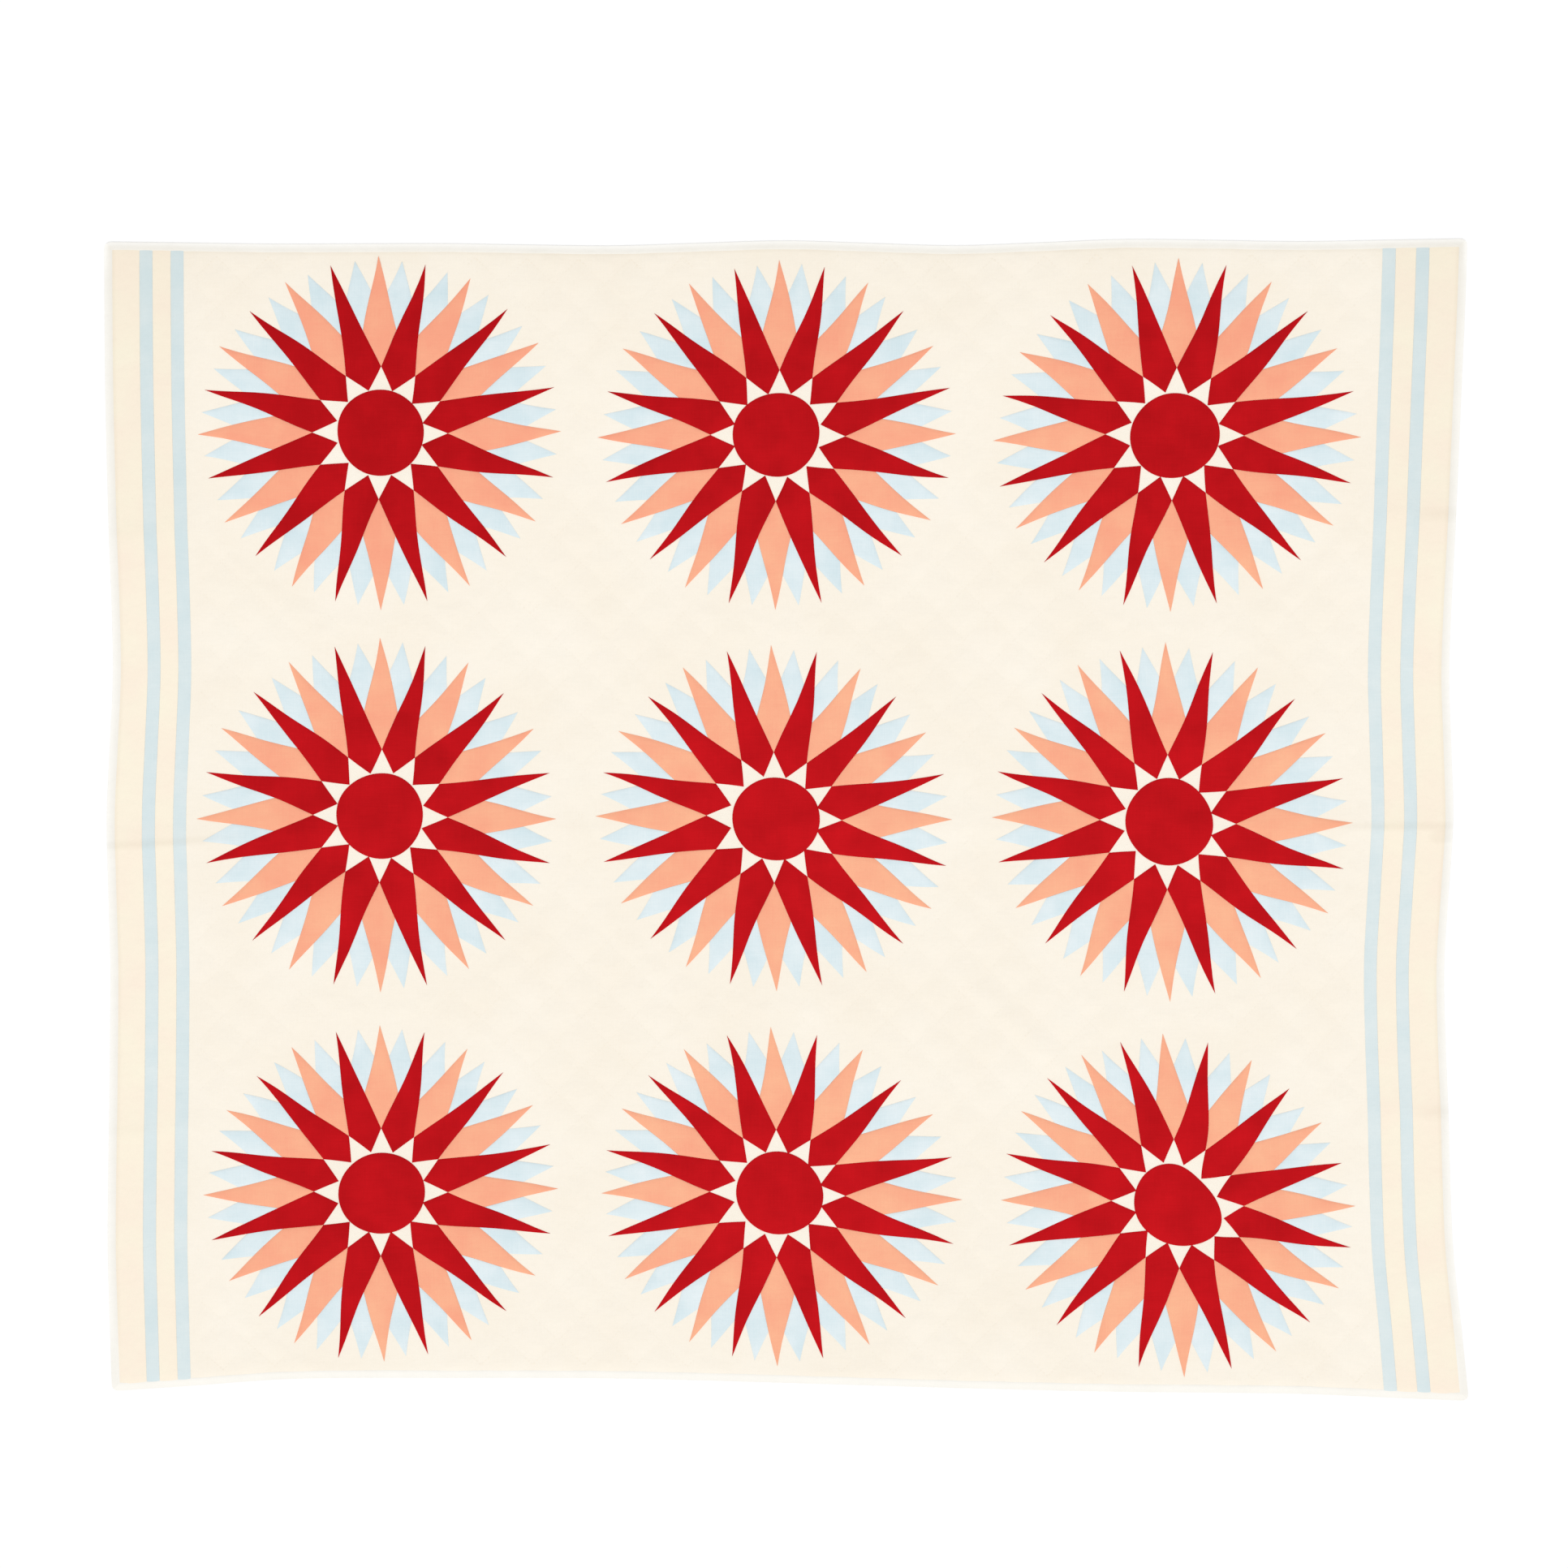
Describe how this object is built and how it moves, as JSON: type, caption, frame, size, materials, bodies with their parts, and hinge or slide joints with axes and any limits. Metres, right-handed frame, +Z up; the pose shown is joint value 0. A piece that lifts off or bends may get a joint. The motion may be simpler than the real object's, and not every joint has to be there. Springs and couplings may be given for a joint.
{
  "type": "applique quilt",
  "caption": "Cream bed quilt lying flat, with sunburst medallions in red, peach and pale blue cotton, striped side borders and a narrow binding.",
  "frame": {"origin": "on the floor under the middle of the quilt's outline", "axes": "+X to the right of the face, +Y to its top edge, +Z up out of its face"},
  "size_m": [2.102, 1.79, 0.0087],
  "materials": {
    "ground_cotton": "plain-woven cream cotton, matt",
    "border_cotton": "plain-woven cotton, a warmer cream, matt",
    "binding_cotton": "folded strip of paler cotton, matt",
    "blue_cotton": "plain-woven pale blue cotton, faded, matt",
    "peach_cotton": "plain-woven peach cotton, matt",
    "red_cotton": "plain-woven red cotton, matt"
  },
  "bodies": {
    "root": {"quilt_body": "ground_cotton", "binding_top": "binding_cotton", "binding_right": "binding_cotton", "binding_bottom": "binding_cotton", "binding_left": "binding_cotton", "border_left": "border_cotton", "stripe_outer_left": "blue_cotton", "band_left": "border_cotton", "stripe_inner_left": "blue_cotton", "border_right": "border_cotton", "stripe_outer_right": "blue_cotton", "band_right": "border_cotton", "stripe_inner_right": "blue_cotton", "blue_points_r1c1": "blue_cotton", "peach_points_r1c1": "peach_cotton", "red_points_r1c1": "red_cotton", "sun_disc_r1c1": "red_cotton", "blue_points_r1c2": "blue_cotton", "peach_points_r1c2": "peach_cotton", "red_points_r1c2": "red_cotton", "sun_disc_r1c2": "red_cotton", "blue_points_r1c3": "blue_cotton", "peach_points_r1c3": "peach_cotton", "red_points_r1c3": "red_cotton", "sun_disc_r1c3": "red_cotton", "blue_points_r2c1": "blue_cotton", "peach_points_r2c1": "peach_cotton", "red_points_r2c1": "red_cotton", "sun_disc_r2c1": "red_cotton", "blue_points_r2c2": "blue_cotton", "peach_points_r2c2": "peach_cotton", "red_points_r2c2": "red_cotton", "sun_disc_r2c2": "red_cotton", "blue_points_r2c3": "blue_cotton", "peach_points_r2c3": "peach_cotton", "red_points_r2c3": "red_cotton", "sun_disc_r2c3": "red_cotton", "blue_points_r3c1": "blue_cotton", "peach_points_r3c1": "peach_cotton", "red_points_r3c1": "red_cotton", "sun_disc_r3c1": "red_cotton", "blue_points_r3c2": "blue_cotton", "peach_points_r3c2": "peach_cotton", "red_points_r3c2": "red_cotton", "sun_disc_r3c2": "red_cotton", "blue_points_r3c3": "blue_cotton", "peach_points_r3c3": "peach_cotton", "red_points_r3c3": "red_cotton", "sun_disc_r3c3": "red_cotton"}
  },
  "joints": []
}
